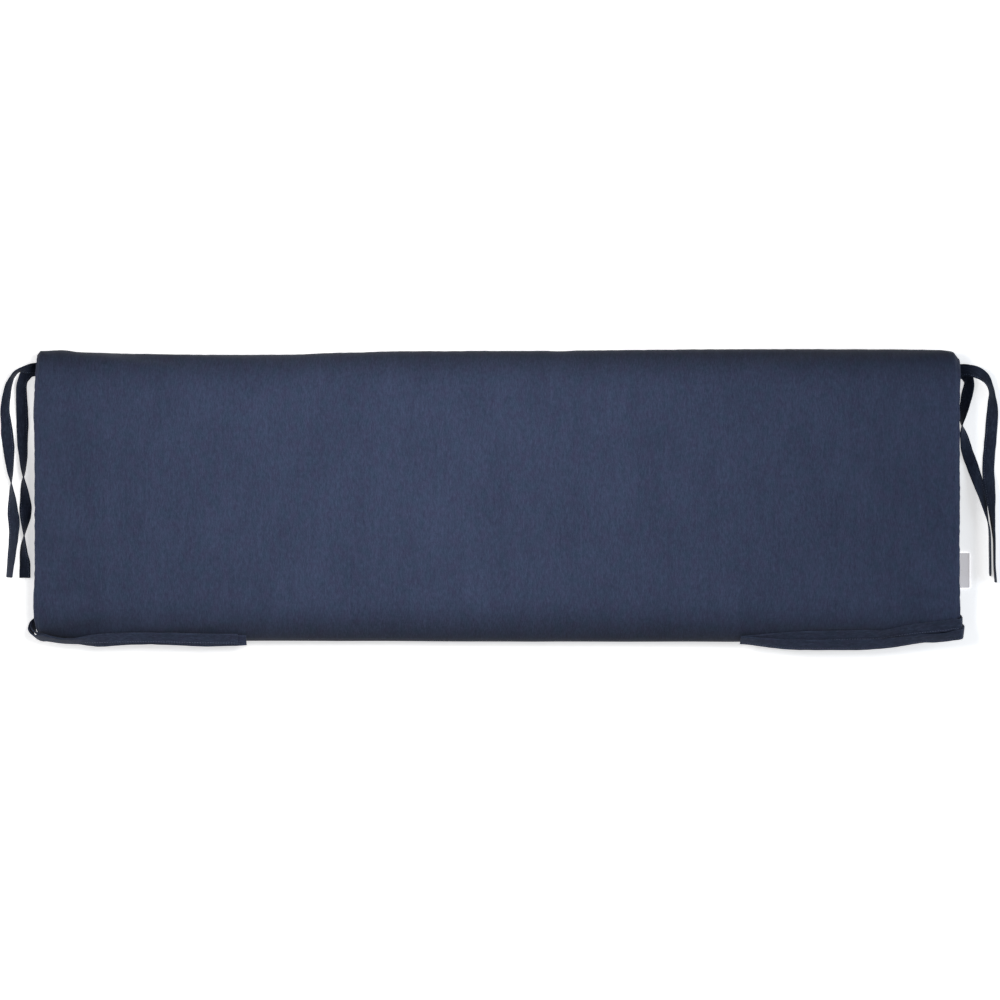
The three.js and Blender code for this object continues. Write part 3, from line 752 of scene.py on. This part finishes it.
TIES["tie_front_right_outer"] = ([
    at(599, -176, 4.8, 90, -2),
    at(606.4, -176, 5.2, 90, -2),
    at(611.4, -176, 10, 90, 0),
    at(613, -176.2, 20.5, 90, 3),
    at(612.9, -176.8, 32, 87, 9),
    at(611.8, -178.4, 43, 86, 20),
    at(607.6, -181, 51, 90, 30),
    on_roll(598, 5.8, 38, 4.6),
    on_roll(583, 4.2, 44, 4.8),
    on_roll(556, 3, 45, 4.8),
    on_roll(529, -0.8, 39, 5.5),
    on_roll(502, -3.8, 35, 4.4, 6),
    on_roll(476, -4.9, 31, 4.4, 12),
    on_roll(437, -4.8, 30, 4.4, 12),
    on_roll(397, -4.5, 31, 4.4, 12),
    on_roll(371, -3.3, 35, 4.4, 10),
    on_roll(350, -1.3, 43, 4.4, 6),
    on_roll(332, 0.8, 50, 4.4),
    on_roll(319, 1.4, 53, 4.4),
], ["cushion"])


def smooth_rows(rows):
    """Smooth values through all the rows, TIE_STEPS to each interval."""
    table = np.array(rows, dtype=float)
    last = len(table) - 1
    out = []
    for i in range(last):
        p0, p1, p2, p3 = (table[min(last, max(0, k))] for k in (i - 1, i, i + 1, i + 2))
        m1, m2 = (p2 - p0) / 2, (p3 - p1) / 2
        for step in range(TIE_STEPS):
            t = step / TIE_STEPS
            out.append((2 * t**3 - 3 * t**2 + 1) * p1 + (t**3 - 2 * t**2 + t) * m1
                       + (3 * t**2 - 2 * t**3) * p2 + (t**3 - t**2) * m2)
    out.append(table[last])
    return np.array(out)


# A tie's section: the share across its width from the open edge to the fold, and its half thickness there.
TIE_SECTION = [
    (-0.5, 0.3), (-0.49, 0.75), (-0.46, 0.95), (-0.41, 0.96), (-0.375, 0.8), (-0.3375, 0.66), (-0.3, 0.8),
    (-0.26, 0.97), (-0.15, 1.04), (0.0, 1.06), (0.18, 1.04), (0.32, 1.0), (0.42, 0.96), (0.47, 0.78),
    (0.493, 0.45), (0.5, 0.0),
]


def tie_frames(rows, seed):
    """Each step of a tie: its middle, the middle as it sways, the way ahead, the width's direction, the normal,
    the cup and the length so far."""
    path = smooth_rows(rows)
    centres = path[:, :3]
    ahead = np.vstack([centres[1] - centres[0], centres[2:] - centres[:-2], centres[-1] - centres[-2]])
    ahead /= np.linalg.norm(ahead, axis=1)[:, None]
    across, slope = np.radians(path[:, 3]), np.radians(path[:, 4])
    wide = np.column_stack([np.cos(slope) * np.cos(across), np.cos(slope) * np.sin(across), np.sin(slope)])
    wide -= ahead * np.sum(wide * ahead, axis=1)[:, None]
    wide /= np.linalg.norm(wide, axis=1)[:, None]
    normal = np.cross(wide, ahead)
    length = np.concatenate([[0], np.cumsum(np.linalg.norm(np.diff(centres, axis=0), axis=1))])
    sway = np.array([noise.noise((at / LINE_HUMPS, seed, 8)) for at in length])
    swayed = centres + wide * LINE_CHANGE * sway[:, None]
    return centres, swayed, ahead, wide, normal, np.radians(path[:, 5]), length


def make_tie(name, rows, seed):
    _, centres, _, wide, normal, cup, length = tie_frames(rows, seed)
    shares = [a for a, _ in TIE_SECTION]
    halves = [h for _, h in TIE_SECTION]
    section = list(zip(shares, halves)) + [(a, -h) for a, h in TIE_SECTION[-2::-1]]
    section.append(section[0])
    rings = []
    for i, centre in enumerate(centres):
        width = TIE_WIDTH * (1 + WIDTH_CHANGE * noise.noise((length[i] / WIDTH_HUMPS, seed, 0)))
        thickness_noise = noise.noise((length[i] / THICKNESS_HUMPS, seed, 3))
        thick = TIE_THICKNESS / 2 * (1 + THICKNESS_CHANGE * thickness_noise)
        from_end = (length[-1] - length[i]) / END_ROUNDING
        if from_end < 1:
            thick *= 0.45 + 0.55 * math.sqrt(max(0, 1 - (1 - from_end) ** 2))
        sag = -np.sign(normal[i][2]) * TIE_WIDTH * cup[i] / 2
        ring = []
        for share, half in section:
            beside = math.exp(-((share - STITCH_SHARE) / STITCH_PULL_SHARE) ** 2)
            stitch_pull = 1 - STITCH_PULL * beside * math.cos(2 * math.pi * length[i] / STITCH_PITCH)
            ring.append(centre + wide[i] * width * share
                        + normal[i] * (thick * half * stitch_pull + sag * share * share))
        ring = np.array(ring)
        ring[:, 2] += max(0, REST_GAP - ring[:, 2].min())
        rings.append(ring)
    across = [a * TIE_WIDTH for a, _ in section]
    tie = wrapped_grid(name, rings, lambda row, column, face_rows: (across[column], length[row]))
    close_up(tie, fill_ends=True)
    make_active(tie)
    bpy.ops.object.shade_smooth_by_angle(angle=math.radians(50))
    return tie


def make_stitches(name, rows, seed, visible_from):
    """The thread on both faces of a tie, beside its open edge."""
    centres, _, ahead, wide, normal, cup, length = tie_frames(rows, seed)
    deselect_all()
    bpy.ops.mesh.primitive_ico_sphere_add(subdivisions=1, radius=1)
    first_stitch = bpy.context.object
    template = first_stitch.data
    bm = bmesh.new()
    for mark in np.arange(visible_from, length[-1] - 2 * MM, STITCH_PITCH):
        i = int(np.clip(np.searchsorted(length, mark) - 1, 0, len(length) - 2))
        t = (mark - length[i]) / (length[i + 1] - length[i])
        centre, along, broad, out = (a[i] + (a[i + 1] - a[i]) * t for a in (centres, ahead, wide, normal))
        sag = -np.sign(out[2]) * TIE_WIDTH * cup[i] / 2
        for face in (1, -1):
            off = face * STITCH_OFFSET + sag * STITCH_SHARE * STITCH_SHARE
            spot = centre + broad * TIE_WIDTH * STITCH_SHARE + out * off
            spot[2] = max(spot[2], STITCH_FLOOR)
            turn = Matrix((along, broad, out)).transposed().to_4x4()
            shape = Matrix.Diagonal((*STITCH_HALVES, 1))
            before = len(bm.verts)
            bm.from_mesh(template)
            bm.verts.ensure_lookup_table()
            bmesh.ops.transform(bm, matrix=Matrix.Translation(spot) @ turn @ shape, verts=bm.verts[before:])
    mesh = bpy.data.meshes.new(name)
    bm.to_mesh(mesh)
    bm.free()
    bpy.data.objects.remove(first_stitch)
    stitches = bpy.data.objects.new(name, mesh)
    bpy.context.collection.objects.link(stitches)
    make_active(stitches)
    bpy.ops.object.shade_smooth()
    return stitches


# The label

def label_layer(layer, root, fold):
    """Points along one layer of the label, from the seam to the fold."""
    height, fall, power = layer
    return [(root + (fold - root) * t, height - fall * t ** power) for t in np.linspace(0, 1, LABEL_STEPS)]


def make_label():
    """A ribbon folded in two, with both its ends in the seam."""
    low, high = (np.array(c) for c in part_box("label"))
    reach = high[0]
    root = low[0] - LABEL_HIDDEN
    upper, lower = (label_layer(layer, root, reach - 1 * MM) for layer in LABEL_LAYERS)
    turn = [(reach - 0.9 * MM + LABEL_FOLD[0] * math.cos(a), LABEL_FOLD_HEIGHT + LABEL_FOLD[1] * math.sin(a))
            for a in np.radians(np.linspace(80, -80, 9))]
    profile = upper + turn + lower[::-1]
    width = np.linspace(low[1], high[1], 25)
    rings = []
    for y in width:
        edge = (y - width[0]) / (width[-1] - width[0]) - 0.5
        curl = 0.5 * MM * (edge * 2) ** 2 + 0.15 * MM * noise.noise((y / 0.012, 2, 5))
        rings.append([(x, y, z + curl * (x - root) / (reach - root)) for x, z in profile])
    run = np.concatenate([[0], np.cumsum([math.dist(a, b) for a, b in zip(profile, profile[1:])])])
    label = wrapped_grid("blank_label", rings, lambda row, column, face_rows: (width[row], run[column]))
    make_active(label)
    bpy.ops.object.mode_set(mode="EDIT")
    bpy.ops.mesh.select_all(action="SELECT")
    bpy.ops.mesh.normals_make_consistent(inside=False)
    bpy.ops.object.mode_set(mode="OBJECT")
    apply_modifier(label, "SOLIDIFY", thickness=LABEL_THICKNESS, offset=0)
    make_active(label)
    bpy.ops.object.shade_smooth_by_angle(angle=math.radians(40))
    return label


# Materials

def node(tree, kind, inputs=None, **settings):
    """A node with its settings, and each input set to a value or linked to an output."""
    made = tree.nodes.new(kind)
    for key, value in settings.items():
        setattr(made, key, value)
    for key, value in (inputs or {}).items():
        if isinstance(value, bpy.types.NodeSocket):
            tree.links.new(value, made.inputs[key])
        else:
            made.inputs[key].default_value = value
    return made


def linear(hex_colour):
    """A linear colour from a screen colour."""
    channels = [(hex_colour >> shift & 255) / 255 for shift in (16, 8, 0)]
    return [c / 12.92 if c <= 0.04045 else ((c + 0.055) / 1.055) ** 2.4 for c in channels] + [1]


def calculate(tree, operation, a, b=None, c=None):
    values = {i: v for i, v in enumerate((a, b, c)) if v is not None}
    return node(tree, "ShaderNodeMath", values, operation=operation).outputs[0]


def blend_colours(tree, share, first, second, mode="MIX"):
    made = node(tree, "ShaderNodeMix", data_type="RGBA", blend_type=mode)
    for index, value in ((0, share), (6, first), (7, second)):
        if isinstance(value, bpy.types.NodeSocket):
            tree.links.new(value, made.inputs[index])
        else:
            made.inputs[index].default_value = value
    return made.outputs[2]


def clouds(tree, cloth, across, along, detail, seed):
    """Soft patches: across and along are their size in metres."""
    placed = node(tree, "ShaderNodeMapping", {
        "Vector": cloth, "Location": (seed, seed * 0.7, 0), "Scale": (1 / across, 1 / along, 1)})
    grain = node(tree, "ShaderNodeTexNoise", {
        "Vector": placed.outputs[0], "Scale": 1.0, "Detail": detail, "Roughness": 0.55})
    return grain.outputs[0]


def yarns(tree, across, along, width, length, seed):
    """A tone for each yarn of a width, which changes along it about every length, each yarn on its own."""
    lane = calculate(tree, "FLOOR", calculate(tree, "MULTIPLY", across, 1 / width))
    start = node(tree, "ShaderNodeTexWhiteNoise", {"W": calculate(tree, "ADD", lane, seed)},
                 noise_dimensions="1D").outputs[0]
    run = calculate(tree, "MULTIPLY_ADD", along, 1 / length, calculate(tree, "MULTIPLY", start, 31.0))
    own = calculate(tree, "MULTIPLY_ADD", lane, 5.37, seed)
    spot = node(tree, "ShaderNodeCombineXYZ", {0: own, 1: run})
    return node(tree, "ShaderNodeTexNoise", {
        "Vector": spot.outputs[0], "Scale": 1.0, "Detail": 2.0, "Roughness": 0.6}).outputs[0]


def woven_cloth(name, dark, cool, warm, light, yarn, with_painted_shade=False):
    """Heathered cloth in a plain weave. Its UV map is the flat cloth in metres, with the warp along V."""
    material = bpy.data.materials.new(name)
    material.use_nodes = True
    tree = material.node_tree
    shader = tree.nodes["Principled BSDF"]
    shader.inputs["Roughness"].default_value = 0.92
    shader.inputs["Sheen Weight"].default_value = 0.08
    shader.inputs["Sheen Roughness"].default_value = 0.4
    shader.inputs["Specular IOR Level"].default_value = 0.2
    cloth = node(tree, "ShaderNodeUVMap", uv_map="cloth").outputs[0]
    parts = node(tree, "ShaderNodeSeparateXYZ", {0: cloth})
    across, along = parts.outputs[0], parts.outputs[1]
    warp_tone = yarns(tree, across, along, yarn, WARP_RUN, 3.1)
    slub_tone = yarns(tree, across, along, 3 * yarn, SLUB_RUN, 57.3)
    weft_tone = yarns(tree, along, across, yarn, WEFT_RUN, 91.7)
    broad = clouds(tree, cloth, 0.05, 0.11, 2, 23.3)
    tone = calculate(tree, "MULTIPLY", warp_tone, WARP_SHARE)
    tone = calculate(tree, "MULTIPLY_ADD", slub_tone, SLUB_SHARE, tone)
    tone = calculate(tree, "MULTIPLY_ADD", weft_tone, WEFT_SHARE, tone)
    tone = calculate(tree, "MULTIPLY_ADD", broad, BROAD_SHARE, tone)
    patch = clouds(tree, cloth, 0.012, 0.017, 1, 41.9)
    ground = blend_colours(tree, node(tree, "ShaderNodeMapRange", {
        "Value": patch, "From Min": 0.3, "From Max": 0.7}).outputs[0], linear(cool), linear(warm))
    darker = node(tree, "ShaderNodeMapRange", {"Value": tone, "From Min": 0.5, "From Max": 0.3}).outputs[0]
    lighter = node(tree, "ShaderNodeMapRange", {"Value": tone, "From Min": 0.5, "From Max": 0.7}).outputs[0]
    colour = blend_colours(tree, darker, ground, linear(dark))
    colour = blend_colours(tree, lighter, colour, linear(light))
    turns = 2 * math.pi / (2 * yarn)
    warp_wave = calculate(tree, "COSINE", calculate(tree, "MULTIPLY", across, turns))
    weft_wave = calculate(tree, "COSINE", calculate(tree, "MULTIPLY", along, turns))
    weave = calculate(tree, "MULTIPLY", warp_wave, weft_wave)
    # Painted shade of the weave: lighter on the yarns' crowns, darker in the gaps between them.
    shade = calculate(tree, "MULTIPLY_ADD", calculate(tree, "ABSOLUTE", weave), 0.28, 0.88)
    # Painted shade on the long rolls and on the sides and underside.
    if with_painted_shade:
        shade = calculate(tree, "MULTIPLY", shade, painted_roll_shade(tree))
    colour = blend_colours(tree, 1.0, colour, node(tree, "ShaderNodeCombineColor", {
        0: shade, 1: shade, 2: shade}).outputs[0], "MULTIPLY")
    tree.links.new(colour, shader.inputs["Base Color"])
    height = calculate(tree, "MULTIPLY_ADD", slub_tone, 1.4, weave)
    bump = node(tree, "ShaderNodeBump", {"Height": height, "Strength": 0.5, "Distance": 0.00012})
    tree.links.new(bump.outputs[0], shader.inputs["Normal"])
    return material


def painted_roll_shade(tree):
    """Painted shade: the colour darkens towards the two long edges, and on the sides and the underside below a
    height.
    """
    place = node(tree, "ShaderNodeTexCoord").outputs["Object"]
    parts = node(tree, "ShaderNodeSeparateXYZ", {0: place})
    lit_share = None
    for edge, towards in (("front", -1), ("back", 1)):
        shade_depth, power = ROLL_PAINTED_SHADE[edge]
        far = node(tree, "ShaderNodeMapRange", {
            "Value": parts.outputs[1], "From Min": towards * (HALF_DEPTH - ROLL_SHADE_REACH),
            "From Max": towards * (HALF_DEPTH - ROLL_SHADE_END)}, interpolation_type="LINEAR").outputs[0]
        share = calculate(tree, "MULTIPLY_ADD", calculate(tree, "POWER", far, power), -shade_depth, 1.0)
        lit_share = share if lit_share is None else calculate(tree, "MULTIPLY", lit_share, share)
    under = node(tree, "ShaderNodeMapRange", {
        "Value": parts.outputs[2], "From Min": UNDERSIDE_SHADE_HEIGHTS[0], "From Max": UNDERSIDE_SHADE_HEIGHTS[1],
        "To Min": UNDERSIDE_PAINTED_SHADE, "To Max": 1.0}, interpolation_type="SMOOTHSTEP").outputs[0]
    return calculate(tree, "MINIMUM", lit_share, under)


def thread_material():
    material = bpy.data.materials.new("stitching_thread")
    material.use_nodes = True
    tree = material.node_tree
    shader = tree.nodes["Principled BSDF"]
    shader.inputs["Roughness"].default_value = 0.6
    shader.inputs["Sheen Weight"].default_value = 0.3
    place = node(tree, "ShaderNodeTexCoord").outputs["Object"]
    grain = node(tree, "ShaderNodeTexNoise", {"Vector": place, "Scale": 900.0, "Detail": 1.0}).outputs[0]
    colour = blend_colours(tree, grain, linear(0x3A4660), linear(0x56627E))
    tree.links.new(colour, shader.inputs["Base Color"])
    return material


def ribbon_material():
    """Blank satin ribbon: fine ribs across it and a slight gloss."""
    material = bpy.data.materials.new("white_ribbon")
    material.use_nodes = True
    tree = material.node_tree
    shader = tree.nodes["Principled BSDF"]
    shader.inputs["Roughness"].default_value = 0.45
    shader.inputs["Sheen Weight"].default_value = 0.15
    cloth = node(tree, "ShaderNodeUVMap", uv_map="cloth").outputs[0]
    parts = node(tree, "ShaderNodeSeparateXYZ", {0: cloth})
    ribs = calculate(tree, "SINE", calculate(tree, "MULTIPLY", parts.outputs[1], 2 * math.pi / 0.0005))
    mottle = clouds(tree, cloth, 0.006, 0.002, 2, 5.0)
    share = calculate(tree, "MULTIPLY_ADD", ribs, 0.12, mottle)
    colour = blend_colours(tree, share, linear(0xEAE6EE), linear(0xF7F5F7))
    tree.links.new(colour, shader.inputs["Base Color"])
    # The ribbon's glow is painted light on the label.
    shader.inputs["Emission Color"].default_value = (1, 0.94, 0.9, 1)
    shader.inputs["Emission Strength"].default_value = RIBBON_PAINTED_LIGHT
    bump = node(tree, "ShaderNodeBump", {"Height": ribs, "Strength": 0.3, "Distance": 0.00005})
    tree.links.new(bump.outputs[0], shader.inputs["Normal"])
    return material


def floor_material():
    material = bpy.data.materials.new("pale_floor")
    material.use_nodes = True
    tree = material.node_tree
    shader = tree.nodes["Principled BSDF"]
    shader.inputs["Roughness"].default_value = 0.95
    shader.inputs["Specular IOR Level"].default_value = 0.1
    place = node(tree, "ShaderNodeTexCoord").outputs["Object"]
    grain = node(tree, "ShaderNodeTexNoise", {"Vector": place, "Scale": 3.0, "Detail": 2.0}).outputs[0]
    colour = blend_colours(tree, grain, linear(0xF6F6F7), linear(0xFAFAFA))
    tree.links.new(colour, shader.inputs["Base Color"])
    shader.inputs["Emission Color"].default_value = (1, 1, 1, 1)
    shader.inputs["Emission Strength"].default_value = FLOOR_GLOW
    return material


# The studio

def set_camera():
    """Straight above the cushion, far enough for the photograph's flat view."""
    data = bpy.data.cameras.new("camera")
    data.sensor_width = 36
    data.lens = data.sensor_width * (CAMERA_HEIGHT - PHOTO_PLANE) / (PHOTO_PIXELS * PIXEL_SIZE)
    data.clip_end = 50
    camera = bpy.data.objects.new("camera", data)
    bpy.context.collection.objects.link(camera)
    camera.location = (*CAMERA_SPOT, CAMERA_HEIGHT)
    bpy.context.scene.camera = camera


def soft_light(name, place, aim, size, power, tint=(1, 1, 1)):
    data = bpy.data.lights.new(name, "AREA")
    data.shape = "RECTANGLE"
    data.size, data.size_y = size
    data.energy = power
    data.color = tint
    light = bpy.data.objects.new(name, data)
    bpy.context.collection.objects.link(light)
    light.location = place
    light.rotation_euler = (Vector(aim) - Vector(place)).to_track_quat("-Z", "Y").to_euler()


def set_studio():
    deselect_all()
    bpy.ops.mesh.primitive_plane_add(size=8, location=(0, 0, 0))
    floor = bpy.context.object
    floor.name = "floor"
    floor.data.materials.append(floor_material())
    soft_light("overhead_softbox", (-0.11, 0.14, 1.0), (-0.11, 0.02, 0), (0.5, 0.45), power=10.8)
    for side, power, tint in SIDE_LIGHTS:
        soft_light("side_fill", (1.7 * side, -0.05, 0.4), (0.6 * side, -0.05, 0), (0.5, 1.2), power, tint)
    world = bpy.data.worlds.new("studio")
    world.use_nodes = True
    background = world.node_tree.nodes["Background"]
    background.inputs["Color"].default_value = (1, 1, 1, 1)
    background.inputs["Strength"].default_value = ROOM_LIGHT
    bpy.context.scene.world = world
    bpy.context.scene.view_settings.view_transform = "Standard"


set_camera()
set_studio()

YARN = 1.0 * MM
# The cushion's cloth carries painted shade on its long rolls and underside.
navy_cloth = woven_cloth("navy_cloth", 0x20263A, 0x293549, 0x2E3249, 0x374059, YARN, with_painted_shade=True)
front_tie_cloth = woven_cloth("navy_tie_cloth", 0x171D2A, 0x232C3D, 0x272B3E, 0x343D52, YARN)
# The back ties use a darker copy of the front ties' cloth: the extra darkness is painted shade.
back_tie_cloth_painted_shade = woven_cloth("navy_tie_cloth_painted_shade", 0x111622, 0x1C2534, 0x1F2435, 0x2E3749, YARN)
thread = thread_material()

ties = []
for seed, (name, (rows, rests_on)) in enumerate(TIES.items()):
    tie = make_tie(name + "_strip", rows, seed)
    tie.data.materials.append(front_tie_cloth if rests_on else back_tie_cloth_painted_shade)
    stitches = make_stitches(name + "_stitches", rows, seed, ROOT_HIDDEN)
    stitches.data.materials.append(thread)
    for piece in (tie, stitches):
        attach(piece, "root")
    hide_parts(name)
    tie_frames(rows, seed)[-1][-1]
    ties.append(tie)

cushion = make_cushion(ties)
cushion.data.materials.append(navy_cloth)
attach(cushion, "root")
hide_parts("cushion")

label = make_label()
label.data.materials.append(ribbon_material())
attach(label, "root")
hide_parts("label")
